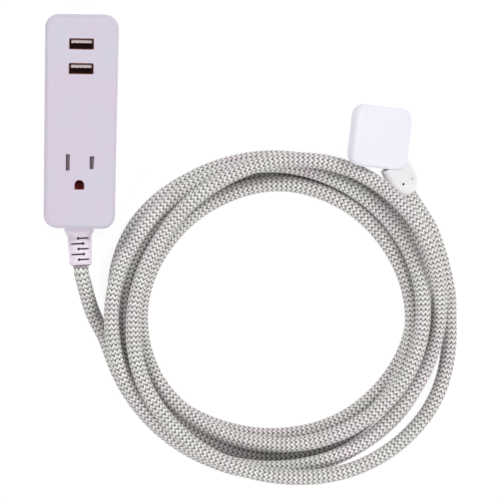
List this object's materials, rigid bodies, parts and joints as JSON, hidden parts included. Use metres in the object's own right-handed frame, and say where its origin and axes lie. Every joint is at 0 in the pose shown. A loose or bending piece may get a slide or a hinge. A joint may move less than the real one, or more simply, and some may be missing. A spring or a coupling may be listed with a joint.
{
  "type": "extension cord",
  "caption": "Power block with one grounded outlet and two charging ports on a long braided cord that lies in a loose coil and ends in a flat square plug.",
  "frame": {"origin": "centre of the power block's back, on the surface that the block, the coil and the plug lie on", "axes": "+Y along the block towards its charging ports, +Z out of the block's face, +X towards the coil"},
  "size_m": [0.222, 0.2486, 0.0325],
  "materials": {
    "lilac_plastic": "matt",
    "soft_plastic": "matt",
    "white_plastic": "satin",
    "tongue_plastic": "satin",
    "shutter_plastic": "matt",
    "braid": "woven",
    "steel": "bright",
    "brass": "satin",
    "board": "satin",
    "black_plastic": "satin",
    "tape": "satin",
    "white_wire": "satin",
    "black_wire": "satin",
    "green_wire": "satin"
  },
  "bodies": {
    "block": {"front_cover": "lilac_plastic", "rear_cover": "lilac_plastic", "cover_screws": "steel", "port_shell_1": "steel", "port_shell_2": "steel", "port_tongue_1": "tongue_plastic", "port_tongue_2": "tongue_plastic", "port_contacts_1": "brass", "port_contacts_2": "brass", "charger_board": "board", "transformer": "tape", "input_capacitor": "black_plastic", "output_capacitor": "black_plastic", "control_chip": "black_plastic", "inductor": "brass", "outlet_carrier": "tongue_plastic", "neutral_contact": "brass", "hot_contact": "brass", "ground_contact": "brass", "shutter_spring": "steel", "cord_clamp": "tongue_plastic", "clamp_screws": "steel", "neutral_wire": "white_wire", "hot_wire": "black_wire", "ground_wire": "green_wire", "block_relief": "soft_plastic", "cord_entry": "braid", "block_lead": "braid", "cord_coil": "braid", "plug_lead": "braid", "plug_housing": "white_plastic", "plug_core": "white_plastic", "plug_relief": "white_plastic", "neutral_blade": "steel", "hot_blade": "steel", "ground_pin": "steel", "plug_crimps": "brass"},
    "shutter": {"shutter": "shutter_plastic"}
  },
  "joints": [
    {"name": "shutter_slide", "type": "slide", "parent": "block", "child": "shutter", "axis": [1, 0, 0], "range_m": [0, 0.0026], "stiffness_N_per_m": 60, "deforming": ["shutter_spring"]}
  ]
}
